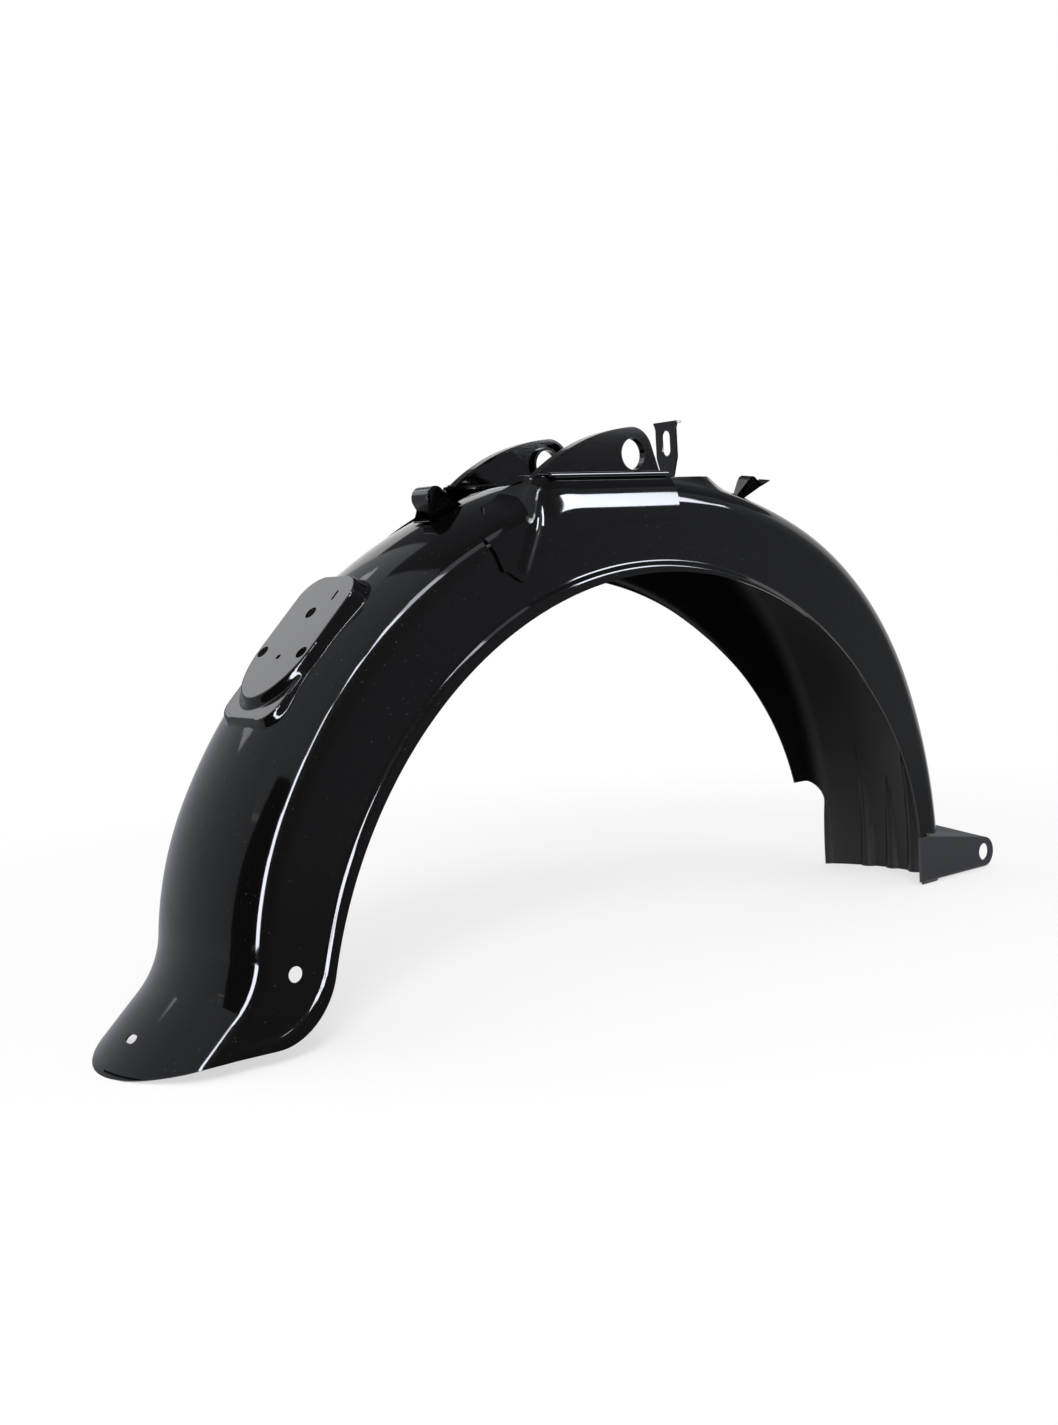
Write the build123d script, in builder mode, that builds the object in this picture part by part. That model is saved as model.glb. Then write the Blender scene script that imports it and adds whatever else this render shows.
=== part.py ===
"""Motorcycle rear fender: a pressed steel blade with welded brackets, standing on its two ends."""
import os
from math import acos, asin, cos, degrees, radians, sin, sqrt

from build123d import *

os.makedirs("parts", exist_ok=True)

# Sizes are in mm. Angles are degrees forward from straight up, about the wheel centre.
# Places named _x, _front and _rear are measured forward from the wheel centre.
wheel_x = 18.5
wheel_z = -27.4
sheet = 1.2
bracket_sheet = 2.2
weld_gap = 0.2

# Blade, seen from the side
rim_radius = 330.0
rim_front_angle = 55.0
rim_front_radius = 250.0
rim_front_turn = 45.0
crown_radius = 415.0
crown_rear_angle = -61.5
crown_front_angle = 26.5
tail_radius = 260.0
tail_turn = 22.7
flare_radius = 45.0
flare_turn = 42.0
knee_radius = 300.0
knee_turn = 40.0
nose_radius = 450.0
nose_turn = 27.0
tail_corner_share = 0.67
path_run_out = 20.0

# Blade, seen from the end
wall_half = 71.5
crown_side_radius = 140.0
shoulder_radius = 20.0
section_depth = 110.0
tail_edge_radius = 270.0

# Lip round the wheel opening: the opening moved up and back, so that it fades out at the front
lip_width = 12.0
lip_angle = -37.5
lip_step = 2.2
lip_slope = 60.0
lip_depth = 37.0

# Flat saddle on top
saddle_drop = 10.1
saddle_rear = -19.0
saddle_front = 101.0
saddle_half = 50.0
saddle_corner = 30.0
saddle_edge_fillet = 7.0
saddle_slope = 40.0
saddle_depth = 16.0

# Lamp seat: a flat with rounded corners and a ledge below it, three fixing holes, a pilot hole and a slot
seat_angle = -44.8
seat_lift = 3.6
seat_middle = 8.0
seat_length = 112.0
seat_width = 66.0
seat_upper_corner = 20.0
seat_lower_corner = 28.0
seat_edge_chamfer = 1.6
ledge_corner = 2.5
seat_slope = 35.0
seat_depth = 16.0
ledge_drop = 5.5
ledge_reach = 14.0
ledge_overhang = 7.0
lamp_hole = 10.0
lamp_upper_place = 29.7
lamp_lower_place = -6.9
lamp_lower_half = 25.8
pilot_hole = 4.5
pilot_place = -11.2
seat_slot = (9.0, 2.5)
seat_slot_place = (46.0, -15.0)

# Flutes in the front end
flute_spacing = 27.0
flute_radius = 9.0
flute_tip = 0.5
flute_lift = 4.4
flute_starts = (0.34, 0.5, 0.34)

# Chain-side cut-out
notch_setback = 19.5
notch_height = 86.0
notch_rise = 8.0
notch_corner = 24.0

# Holes in the tail
side_hole = 11.0
side_hole_setback = 45.0
side_hole_height = 56.5
tail_slot = (12.0, 7.0)
tail_slot_height = 20.0

# Stay brackets: an ear with a flanged hole, a box over the shoulder, and a skirt with a leg on the wall
ear_face = 54.7
ear_hole = 24.5
ear_hole_x = -4.4
ear_hole_rise = 15.8
ear_radius = 21.0
ear_top_angle = -4.0
ear_front_angle = 75.0
ear_front = 24.5
ear_rear = -107.5
ear_flange = 7.0
collar_length = 6.0
box_rear = -98.0
box_tail = 52.0
box_tail_drop = 22.0
box_edge_fillet = 11.0
box_front_fillet = 18.0
skirt_depth = 43.0
skirt_front_angle = 1.3
skirt_rear_angle = -19.6
skirt_inner = 33.0
leg_depth = 59.0
leg_tip_angle = -22.3
leg_rear_angle = -24.7
leg_fillet = 7.0
rib_radius = 4.5
rib_proud = 2.5
rib_top_depth = 9.0
rib_foot_depth = 45.0
rib_top_angle = -16.5
rib_foot_angle = -21.6

# Seat tab
tab_x = 85.3
tab_sheet = 2.0
tab_foot_half = 6.0
tab_half = 12.0
tab_bend_height = 19.0
tab_neck_height = 43.0
tab_height = 49.0
tab_head_half = 14.0
tab_flange = 6.0
tab_slot = (21.0, 9.5)
tab_slot_height = 31.0

# Harness clips: a bent strap with a foot on the crown
strap = 1.2
clip_foot = 9.0
rear_clip_angle = -21.3
rear_clip_side = 2.0
rear_clip_width = 20.0
rear_clip_rise = 16.0
rear_clip_curl = 8.0
rear_clip_tongue = 25.0
front_clip_angle = 20.9
front_clip_side = 20.0
front_clip_width = 13.0
front_clip_rise = 17.0
front_clip_curl = 5.5
front_clip_tongue = 9.0

# Front arm
arm_sheet = 2.5
arm_hole = 16.2
arm_hole_reach = 97.0
arm_hole_height = 16.3
arm_eye_radius = 14.0
arm_setback = 53.0
arm_strip = 12.0
arm_lift = 3.0
arm_root_height = 44.0
arm_flange = 16.0
arm_flange_lean = 45.0

saddle_height = wheel_z + crown_radius - saddle_drop
shelf_height = saddle_height + bracket_sheet
wheel_centre = (wheel_x, wheel_z)


def polar(radius, angle):
    """Point at a radius and an angle about the wheel centre, seen from the side."""
    return (wheel_x + radius * sin(radians(angle)), wheel_z + radius * cos(radians(angle)))


def crown_drop(side):
    """How far the crown falls from its middle at a distance to the side."""
    return crown_side_radius - sqrt(crown_side_radius**2 - side**2)


with BuildLine(Plane.XZ) as crown_line:
    crown = CenterArc(wheel_centre, crown_radius, 90 - crown_rear_angle, crown_rear_angle - crown_front_angle)
    knee = JernArc(crown @ 1, crown % 1, knee_radius, -knee_turn)
    nose = JernArc(knee @ 1, knee % 1, nose_radius, -nose_turn)
    tail = JernArc(crown @ 0, (crown % 0) * -1, tail_radius, tail_turn)
    flare = JernArc(tail @ 1, tail % 1, flare_radius, -flare_turn)
    tail_run = (flare @ 1).Z / -(flare % 1).Z
    Line(flare @ 1, flare @ 1 + (flare % 1) * (tail_run + path_run_out))
crown_path = crown_line.wire()
wall_edge = tail_edge_radius - sqrt(tail_edge_radius**2 - wall_half**2)
lip_back = wheel_x + lip_width * sin(radians(lip_angle))
tail_foot = lip_back - sqrt(rim_radius**2 - (wall_edge - wheel_z)**2) - (tail @ 1).X
tail_corner = tail_corner_share * tail_foot


def opening(inset, shift=0.0, limit=4 * crown_radius):
    """Wheel opening down to the ground and the tail's lower edge, as a face on the side plane."""
    reach = 2 * crown_radius
    centre = (wheel_x + shift * sin(radians(lip_angle)), wheel_z + shift * cos(radians(lip_angle)))
    edge_height = wall_edge + centre[1] - wheel_z - inset
    radius = rim_radius - inset
    start_angle = degrees(acos((edge_height - centre[1]) / radius))
    with BuildSketch(Plane.XZ) as side:
        with BuildLine():
            rim = CenterArc(centre, radius, 90 + start_angle, -start_angle - rim_front_angle)
            front = JernArc(rim @ 1, rim % 1, rim_front_radius - inset, -rim_front_turn)
            tail_x = (tail @ 1).X
            Polyline(front @ 1, (front @ 1 - (0, reach)), (tail_x, -reach), (tail_x, edge_height), rim @ 0)
        make_face()
        fillet(vertices().sort_by_distance(rim @ 0)[0], tail_corner + inset)
        with Locations(wheel_centre):
            Circle(limit, mode=Mode.INTERSECT)
    return side.sketch


def swept_channel(inset):
    """Solid under the crown and between the walls, drawn in by the inset."""
    half = wall_half - inset
    arc_radius = crown_side_radius - inset
    edge = -inset - arc_radius + sqrt(arc_radius**2 - half**2)
    with BuildPart() as solid:
        with BuildSketch(Plane(crown_path @ 0, x_dir=(0, 1, 0), z_dir=crown_path % 0)):
            with BuildLine():
                arch = ThreePointArc((-half, edge), (0, -inset), (half, edge))
                Polyline(arch @ 1, (half, -section_depth - inset), (-half, -section_depth - inset), arch @ 0)
            make_face()
            fillet(vertices().group_by(Axis.Y)[-1], shoulder_radius - inset)
        sweep(path=crown_path)
    return solid.part


seat_place = polar(crown_radius + seat_lift, seat_angle)
seat_up = Vector(sin(radians(seat_angle)), 0, cos(radians(seat_angle)))
seat_plane = Plane((seat_place[0], 0, seat_place[1]), x_dir=Vector(0, 1, 0).cross(seat_up), z_dir=seat_up)
saddle_plane = Plane((wheel_x, 0, saddle_height))


def saddle_pad(inset):
    """Flat-topped pad with sloping sides that carries the seat's front."""
    with BuildPart() as pad:
        with BuildSketch(saddle_plane.offset(-inset)) as top:
            with Locations(((saddle_front + saddle_rear) / 2, 0)):
                RectangleRounded(saddle_front - saddle_rear - inset, 2 * saddle_half - inset, saddle_corner)
        extrude(top.sketch, amount=saddle_depth, dir=(0, 0, -1), taper=-saddle_slope)
        fillet(pad.faces().sort_by(Axis.Z)[-1].edges(), saddle_edge_fillet)
    return pad.part


def seat_pad(inset):
    """Flat-topped pad with sloping sides that carries the tail lamp, on a lower ledge at its foot."""
    with BuildPart() as pad:
        with BuildSketch(Plane.XY.offset(-inset)) as top:
            with Locations((seat_middle, 0)):
                Rectangle(seat_length - inset, seat_width - inset)
            fillet(top.vertices().group_by(Axis.X)[-1], seat_upper_corner)
            fillet(top.vertices().group_by(Axis.X)[0], seat_lower_corner)
        extrude(top.sketch, amount=seat_depth, dir=(0, 0, -1), taper=-seat_slope)
        chamfer(pad.faces().sort_by(Axis.Z)[-1].edges(), seat_edge_chamfer)
        with BuildSketch(Plane.XY.offset(-inset - ledge_drop)) as ledge:
            with Locations((seat_middle - seat_length / 2 - ledge_reach + inset / 2, 0)):
                RectangleRounded(seat_length / 2, seat_width + 2 * ledge_overhang - inset, ledge_corner,
                                 align=(Align.MIN, Align.CENTER))
        extrude(ledge.sketch, amount=seat_depth, dir=(0, 0, -1), taper=-seat_slope)
    return pad.part.moved(seat_plane.location)


def channel(inset):
    """Solid that fills the blade with its pads, flutes and lip, drawn in by a sheet for the hollow."""
    body = swept_channel(inset)
    pads = (saddle_pad(inset), seat_pad(inset))
    lip = opening(inset, lip_width, crown_radius - lip_depth)
    with BuildPart() as solid:
        add(body)
        with BuildSketch(saddle_plane.offset(-inset)):
            with Locations((saddle_front - saddle_edge_fillet, 0)):
                Rectangle(crown_radius, 3 * wall_half, align=(Align.MAX, Align.CENTER))
        extrude(amount=2 * saddle_drop, mode=Mode.SUBTRACT)
        add(pads)
        for start, place in zip(flute_starts, (-flute_spacing, 0, flute_spacing)):
            axis = nose @ start - nose @ 1
            inward = axis.cross(Vector(0, 1, 0)).normalized()
            foot = nose @ 1 + inward * (crown_drop(place) - flute_lift) + Vector(0, place, 0)
            with Locations(Plane(foot, z_dir=axis)):
                Cone(flute_radius + inset, flute_tip + inset, axis.length, mode=Mode.SUBTRACT,
                     align=(Align.CENTER, Align.CENTER, Align.MIN))
        for side in (-1, 1):
            face = lip.moved(Location((0, side * (wall_half + lip_step - inset), 0)))
            extrude(face, amount=lip_step, dir=(0, -side, 0), taper=-lip_slope)
    return solid.part


blade_fill = channel(0)
blade_hollow = channel(sheet)

with BuildPart() as fender_blade:
    add(blade_fill)
    add(blade_hollow, mode=Mode.SUBTRACT)
    extrude(opening(0), amount=2 * wall_half, both=True, mode=Mode.SUBTRACT)
    with BuildSketch(Plane.YZ.offset(polar(rim_radius, crown_rear_angle)[0])) as tail_edge:
        with Locations((0, tail_edge_radius)):
            Rectangle(4 * wall_half, 4 * tail_edge_radius)
            Circle(tail_edge_radius, mode=Mode.SUBTRACT)
        with Locations((0, tail_edge_radius / 2)):
            Rectangle(4 * wall_half, tail_edge_radius, align=(Align.CENTER, Align.MIN), mode=Mode.SUBTRACT)
    extrude(amount=-crown_radius, mode=Mode.SUBTRACT)
    with Locations((wheel_x, 0, 0)):
        Box(2 * crown_radius, 4 * wall_half, crown_radius, align=(Align.MIN, Align.CENTER, Align.MAX),
            mode=Mode.SUBTRACT)
    with BuildSketch(Plane.XZ) as notch:
        with BuildLine():
            front = (nose @ 1).X - notch_setback
            Polyline((wheel_x, -notch_height), (front, -notch_height), (front, notch_height),
                     (wheel_x, notch_height + notch_rise), close=True)
        make_face()
        fillet(vertices().sort_by_distance((front, notch_height))[0], notch_corner)
    extrude(amount=-2 * wall_half, mode=Mode.SUBTRACT)
    with BuildSketch(Plane.XZ) as side_holes:
        with Locations(((tail @ 1).X + side_hole_setback, side_hole_height)):
            Circle(side_hole / 2)
    extrude(amount=2 * wall_half, both=True, mode=Mode.SUBTRACT)
    with BuildSketch(seat_plane) as seat_holes:
        with Locations((lamp_upper_place, 0)):
            Circle(lamp_hole / 2)
        with Locations((lamp_lower_place, lamp_lower_half), (lamp_lower_place, -lamp_lower_half)):
            Circle(lamp_hole / 2)
        with Locations((pilot_place, 0)):
            Circle(pilot_hole / 2)
        with Locations(seat_slot_place):
            SlotOverall(*seat_slot)
    extrude(amount=seat_depth, both=True, mode=Mode.SUBTRACT)
    tail_slot_run = (tail_slot_height - (flare @ 1).Z) / (flare % 1).Z
    tail_out = (flare % 1).cross(Vector(0, 1, 0))
    tail_slot_place = flare @ 1 + (flare % 1) * tail_slot_run
    with BuildSketch(Plane(tail_slot_place, x_dir=(0, 1, 0), z_dir=tail_out)) as tail_hole:
        SlotOverall(*tail_slot)
    extrude(amount=flare_radius / 2, both=True, mode=Mode.SUBTRACT)
fender_blade.part.label = "fender_blade"
export_step(fender_blade.part, "parts/fender_blade.step")


blade_clear = swept_channel(-weld_gap)


def stay_fill(inset, skin):
    """Solid under a stay bracket's box and skirt, drawn in by its sheet for the space below."""
    with BuildPart() as block:
        with BuildSketch(Plane.XZ.offset(skirt_inner)):
            with BuildLine():
                rear = wheel_x + box_rear
                front = wheel_x + ear_front + 2 * box_front_fillet
                floor = saddle_height - 2 * leg_depth
                Polyline((front, shelf_height), (rear, shelf_height),
                         (rear - box_tail, shelf_height - box_tail_drop), (rear - box_tail, floor),
                         (front, floor), close=True)
            make_face()
            offset(amount=-inset, kind=Kind.INTERSECTION, mode=Mode.REPLACE)
        extrude(amount=wall_half + weld_gap + bracket_sheet - inset - skirt_inner)
        outer_edges = block.faces().sort_by(Axis.Y)[0].edges()
        fillet(outer_edges.sort_by(Axis.Z)[-2:], box_edge_fillet - inset)
        add(skin)
    return block.part


stay_outer = stay_fill(0, swept_channel(-weld_gap - bracket_sheet))
stay_inner = stay_fill(bracket_sheet, blade_clear)

with BuildSketch(Plane.XZ) as skirt_side:
    with BuildLine():
        hem = CenterArc(wheel_centre, crown_radius - skirt_depth, 90 - skirt_front_angle,
                        skirt_front_angle - skirt_rear_angle)
        leg_tip = polar(crown_radius - leg_depth, leg_tip_angle)
        leg_rear = polar(crown_radius - skirt_depth, leg_rear_angle)
        skirt_rear = polar(crown_radius - crown_drop(wall_half - shoulder_radius / 2), leg_rear_angle)
        skirt_top = polar(crown_radius + bracket_sheet, skirt_rear_angle)
        ear_foot = wheel_x + ear_front
        Polyline(hem @ 1, leg_tip, leg_rear, skirt_rear, skirt_top,
                 (skirt_top[0], shelf_height + bracket_sheet), (ear_foot, shelf_height + bracket_sheet),
                 (ear_foot, (hem @ 0).Y), hem @ 0)
    make_face()
    corners = [vertices().sort_by_distance(point)[0] for point in (hem @ 1, leg_tip, leg_rear, skirt_rear)]
    fillet(corners, leg_fillet)

with BuildPart() as stay_bracket_right:
    add(stay_outer)
    extrude(skirt_side.sketch, amount=2 * wall_half, mode=Mode.INTERSECT)
    with BuildSketch() as skirt_plan:
        with BuildLine():
            ear_inner = ear_face - bracket_sheet
            bracket_face = wall_half + weld_gap + bracket_sheet
            rear = wheel_x + ear_rear
            Polyline((ear_foot, -ear_inner), (rear, -ear_inner), (rear - skirt_inner, -skirt_inner),
                     (rear - 2 * wall_half, -skirt_inner), (rear - 2 * wall_half, -bracket_face),
                     (ear_foot, -bracket_face), close=True)
        make_face()
        fillet(vertices().sort_by_distance((ear_foot, -bracket_face))[0], box_front_fillet)
    extrude(amount=2 * crown_radius, mode=Mode.INTERSECT)
    add(stay_inner, mode=Mode.SUBTRACT)
    ear_plane = Plane((0, -ear_face, 0), x_dir=(1, 0, 0), z_dir=(0, -1, 0))
    ear_hole_place = (wheel_x + ear_hole_x, shelf_height + ear_hole_rise)
    with BuildSketch(ear_plane) as ear:
        with BuildLine():
            tip = CenterArc(ear_hole_place, ear_radius, 90 - ear_front_angle, ear_front_angle - ear_top_angle)
            back = TangentArc(tip @ 1, (rear, saddle_height), tangent=tip % 1)
            Polyline(back @ 1, (ear_foot, saddle_height), tip @ 0)
        make_face()
    with BuildSketch(ear_plane) as ear_rim:
        add(ear.sketch_local)
        offset(amount=-bracket_sheet, mode=Mode.SUBTRACT)
        with Locations((wheel_x, shelf_height)):
            Rectangle(crown_radius, crown_radius, align=(Align.CENTER, Align.MAX), mode=Mode.SUBTRACT)
    extrude(ear_rim.sketch, amount=-bracket_sheet - ear_flange)
    extrude(ear.sketch, amount=-bracket_sheet)
    with Locations(Plane((ear_hole_place[0], -ear_face, ear_hole_place[1]), z_dir=(0, 1, 0))):
        Cylinder(ear_hole / 2 + bracket_sheet, collar_length, align=(Align.CENTER, Align.CENTER, Align.MIN))
        Hole(ear_hole / 2)
    rib_top = polar(crown_radius - rib_top_depth, rib_top_angle)
    rib_foot = polar(crown_radius - rib_foot_depth, rib_foot_angle)
    with BuildSketch(ear_plane.offset(bracket_face + rib_proud - ear_face)) as rib:
        rib_middle = (Vector(rib_top) + Vector(rib_foot)) / 2
        SlotCenterPoint(rib_middle, rib_top, 2 * rib_radius)
    extrude(rib.sketch, amount=-2 * bracket_sheet - rib_proud)
    add(stay_inner, mode=Mode.SUBTRACT)
    add(blade_fill, mode=Mode.SUBTRACT)
stay_bracket_right.part.label = "stay_bracket_right"
export_step(stay_bracket_right.part, "parts/stay_bracket_right.step")

with BuildPart() as stay_bracket_left:
    mirror(stay_bracket_right.part, about=Plane.XZ)
stay_bracket_left.part.label = "stay_bracket_left"
export_step(stay_bracket_left.part, "parts/stay_bracket_left.step")

with BuildPart() as seat_tab:
    tab_plane = Plane((wheel_x + tab_x, 0, saddle_height), x_dir=(0, 1, 0), z_dir=(1, 0, 0))
    with BuildSketch(tab_plane) as tab:
        with BuildLine():
            Polyline((0, 0), (tab_foot_half, 0), (tab_half, tab_bend_height), (tab_half, tab_neck_height),
                     (tab_head_half, tab_height), (0, tab_height))
            mirror(about=Plane.YZ)
        make_face()
        with Locations((0, tab_slot_height)):
            SlotOverall(*tab_slot, rotation=90, mode=Mode.SUBTRACT)
    extrude(amount=tab_sheet)
    with BuildSketch(Plane.XY.offset(saddle_height + tab_height)) as tab_head:
        with Locations((wheel_x + tab_x, 0)):
            Rectangle(tab_flange, 2 * tab_head_half, align=(Align.MIN, Align.CENTER))
    extrude(amount=-tab_sheet)
seat_tab.part.label = "seat_tab"
export_step(seat_tab.part, "parts/seat_tab.step")


def crown_plane(angle, side, forward):
    """Plane that cuts the crown lengthwise: its X runs along the crown, and its Y points out of it."""
    tilt = degrees(asin(side / crown_side_radius))
    place = polar(crown_radius - crown_drop(side), angle)
    along = Vector(cos(radians(angle)), 0, -sin(radians(angle))) * forward
    out = Vector(sin(radians(angle)), 0, cos(radians(angle))).rotate(Axis.X, tilt)
    return Plane((place[0], -side, place[1]), x_dir=along, z_dir=along.cross(out))


with BuildPart() as harness_clip_rear:
    with BuildSketch(crown_plane(rear_clip_angle, rear_clip_side, -1)) as clip_side:
        foot_level = weld_gap + strap / 2
        with BuildLine():
            Line((0, foot_level), (rear_clip_tongue, foot_level))
            Line((0, foot_level), (-clip_foot, foot_level))
            riser = Line((0, foot_level), (rear_clip_rise / 5, rear_clip_rise))
            curl = JernArc(riser @ 1, riser % 1, rear_clip_curl, -180)
            Line(curl @ 1, curl @ 1 + (curl % 1) * rear_clip_curl)
        trace(line_width=strap)
    extrude(amount=rear_clip_width / 2, both=True)
harness_clip_rear.part.label = "harness_clip_rear"
export_step(harness_clip_rear.part, "parts/harness_clip_rear.step")

with BuildPart() as harness_clip_front:
    with BuildSketch(crown_plane(front_clip_angle, front_clip_side, 1)) as clip_side:
        with BuildLine():
            Line((0, foot_level), (-clip_foot, foot_level))
            riser = Line((0, foot_level), (0, front_clip_rise))
            curl = JernArc(riser @ 1, riser % 1, front_clip_curl, -140)
            dip = JernArc(curl @ 1, curl % 1, front_clip_curl, 95)
            Line(dip @ 1, dip @ 1 + (dip % 1) * front_clip_tongue)
        trace(line_width=strap)
    extrude(amount=front_clip_width / 2, both=True)
harness_clip_front.part.label = "harness_clip_front"
export_step(harness_clip_front.part, "parts/harness_clip_front.step")

with BuildPart() as front_arm:
    arm_rear = (nose @ 1).X - arm_setback
    arm_eye = (arm_rear + arm_hole_reach, arm_hole_height)
    arm_plane = Plane((0, -wall_half - weld_gap, 0), x_dir=(1, 0, 0), z_dir=(0, -1, 0))
    with BuildSketch(arm_plane) as arm_side:
        with Locations((arm_rear, arm_lift)):
            Rectangle(arm_strip, arm_root_height - arm_lift, align=(Align.MIN, Align.MIN))
        with Locations(arm_eye):
            Circle(arm_eye_radius)
        make_hull()
    extrude(amount=arm_sheet)
    arm_edges = front_arm.faces().sort_by(Axis.Y)[0].edges().filter_by(GeomType.LINE)
    fold = arm_edges.sort_by(Axis.Z)[-2:].sort_by(Axis.X)[-1]
    fold_start, fold_end = fold.vertices().sort_by(Axis.X)
    fold_line = Vector(fold_end) - Vector(fold_start)
    lean = Vector(0, sin(radians(arm_flange_lean)), cos(radians(arm_flange_lean)))
    with BuildSketch(Plane(Vector(fold_start), x_dir=fold_line, z_dir=fold_line.cross(lean))) as flange:
        Polygon((0, 0), (fold_line.length, 0), (arm_flange, arm_flange), (0, arm_flange), align=None)
    extrude(amount=-arm_sheet)
    with Locations(Plane((arm_eye[0], -wall_half - weld_gap, arm_eye[1]), z_dir=(0, -1, 0))):
        Hole(arm_hole / 2)
    add(blade_clear, mode=Mode.SUBTRACT)
front_arm.part.label = "front_arm"
export_step(front_arm.part, "parts/front_arm.step")
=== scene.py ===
"""Motorcycle rear fender in gloss black paint, on a white studio floor."""
import logging
from dataclasses import dataclass, field
from enum import Enum
from math import asin, atan2, cos, degrees, hypot, pi, radians, sin, sqrt, tan

import bmesh
import bpy
from bmesh.types import BMEdge, BMesh, BMFace, BMVert
from mathutils import Matrix, Vector


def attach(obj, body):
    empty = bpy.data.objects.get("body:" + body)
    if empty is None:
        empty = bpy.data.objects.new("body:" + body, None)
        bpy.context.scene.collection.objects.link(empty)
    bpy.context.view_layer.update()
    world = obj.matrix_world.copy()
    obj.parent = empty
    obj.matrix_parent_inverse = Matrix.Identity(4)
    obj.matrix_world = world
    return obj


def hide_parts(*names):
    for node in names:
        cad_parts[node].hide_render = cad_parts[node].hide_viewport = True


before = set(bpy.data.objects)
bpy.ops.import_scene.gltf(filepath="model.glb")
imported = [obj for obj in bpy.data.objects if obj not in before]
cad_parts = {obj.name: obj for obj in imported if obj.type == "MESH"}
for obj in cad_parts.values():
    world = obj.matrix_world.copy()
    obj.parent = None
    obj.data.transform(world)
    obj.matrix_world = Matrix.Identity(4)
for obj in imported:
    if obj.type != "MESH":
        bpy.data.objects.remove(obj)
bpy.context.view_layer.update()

MM = 0.001
ROOT = "root"
log = logging.getLogger("fender")

# Play in comparisons and cuts, joining of a solid's triangles, and rounding of a bracket's edges
SLACK_MM = 0.01
CUT_SLACK_M = 1e-7
MERGE_MM = 0.005
FLAT_ANGLE = 1.0
EDGE_ANGLE = 32.0
EDGE_SEGMENTS = 3

ALONG = Vector((1.0, 0.0, 0.0))
ACROSS = Vector((0.0, 1.0, 0.0))
WHITE = (1.0, 1.0, 1.0, 1.0)

Pair = tuple[float, float]
Triple = tuple[float, float, float]
# Crown point, angle and depth of a vertex
Station = tuple[Vector, float, float]

# Directions in the frame
UP: Triple = (0.0, 0.0, 1.0)
DOWN: Triple = (0.0, 0.0, -1.0)
FAR: Triple = (0.0, 1.0, 0.0)
NEAR: Triple = (0.0, -1.0, 0.0)
FRONT: Triple = (1.0, 0.0, 0.0)


def to_linear(hex_colour: str) -> tuple[float, float, float, float]:
    """Turn an sRGB hex colour into linear light.

    Args:
        hex_colour: Colour such as "#101012".

    Returns:
        Linear red, green, blue and an alpha of 1.
    """
    channels = [int(hex_colour[i:i + 2], 16) / 255 for i in (1, 3, 5)]
    linear = [c / 12.92 if c <= 0.04045 else ((c + 0.055) / 1.055) ** 2.4 for c in channels]
    return (linear[0], linear[1], linear[2], 1.0)


def add_node(tree: bpy.types.NodeTree, kind: str, settings: dict[str, object] | None = None,
             values: dict[str | int, object] | None = None,
             links: dict[str | int, object] | None = None) -> bpy.types.Node:
    """Add one shader node with its settings, socket values and incoming links.

    Args:
        tree: Node tree that gets the node.
        kind: Blender's type name of the node.
        settings: Attributes of the node itself.
        values: Values of its input sockets, by socket name or number.
        links: Output sockets that feed its inputs, by socket name or number.

    Returns:
        The new node.
    """
    node = tree.nodes.new(kind)
    for name, value in (settings or {}).items():
        setattr(node, name, value)
    for name, value in (values or {}).items():
        node.inputs[name].default_value = value
    for name, socket in (links or {}).items():
        tree.links.new(socket, node.inputs[name])
    return node


def smooth_step(value: float) -> float:
    """Return a soft ramp from 0 to 1 for a value from 0 to 1."""
    clamped = min(max(value, 0.0), 1.0)
    return clamped * clamped * (3 - 2 * clamped)


def mix(first: float, second: float, share: float) -> float:
    """Return the figure a share of the way from the first to the second."""
    return first + (second - first) * share


def soft_max(first: float, second: float, blend: float) -> float:
    """Return the larger of two heights, with a round fillet where they come within the blend of each other."""
    overlap = max(blend - abs(first - second), 0.0) / blend
    return max(first, second) + overlap * overlap * blend / 4


def soft_min(first: float, second: float, blend: float) -> float:
    """Return the smaller of two heights, with a round fillet where they come within the blend of each other."""
    return -soft_max(-first, -second, blend)


def mesh_object(name: str, mesh: BMesh) -> bpy.types.Object:
    """Make an object from a bmesh and free the bmesh.

    Args:
        name: Name of the object and of its mesh.
        mesh: Geometry in metres, in the frame's own place.

    Returns:
        The new object, linked to the scene.
    """
    data = bpy.data.meshes.new(name)
    mesh.to_mesh(data)
    mesh.free()
    piece = bpy.data.objects.new(name, data)
    bpy.context.collection.objects.link(piece)
    return piece


def baked(source: bpy.types.Object, name: str) -> bpy.types.Object:
    """Make a new object from another with its modifiers applied.

    Args:
        source: Object with modifiers.
        name: Name of the new object.

    Returns:
        The new object, linked to the scene.
    """
    shaped = source.evaluated_get(bpy.context.evaluated_depsgraph_get())
    data = bpy.data.meshes.new_from_object(shaped)
    data.name = name
    piece = bpy.data.objects.new(name, data)
    bpy.context.collection.objects.link(piece)
    return piece


def smooth_by_angle(piece: bpy.types.Object, angle: float) -> None:
    """Shade a piece smooth, with edges past an angle in degrees kept sharp."""
    piece.data.polygons.foreach_set("use_smooth", [True] * len(piece.data.polygons))
    piece.data.set_sharp_from_angle(angle=radians(angle))


def add_rod(mesh: BMesh, diameter: float, length: float, place: Matrix, segments: int) -> list[BMVert]:
    """Add a closed round rod to a mesh.

    Args:
        mesh: Mesh that gets the rod.
        diameter: Diameter of the rod.
        length: Length of the rod, along its own Z axis.
        place: Turn and place of the rod's middle.
        segments: Number of sides.

    Returns:
        The rod's vertices.
    """
    rod = bmesh.ops.create_cone(mesh, cap_ends=True, segments=segments, radius1=diameter / 2,
                                radius2=diameter / 2, depth=length, matrix=place)
    return rod["verts"]


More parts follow.
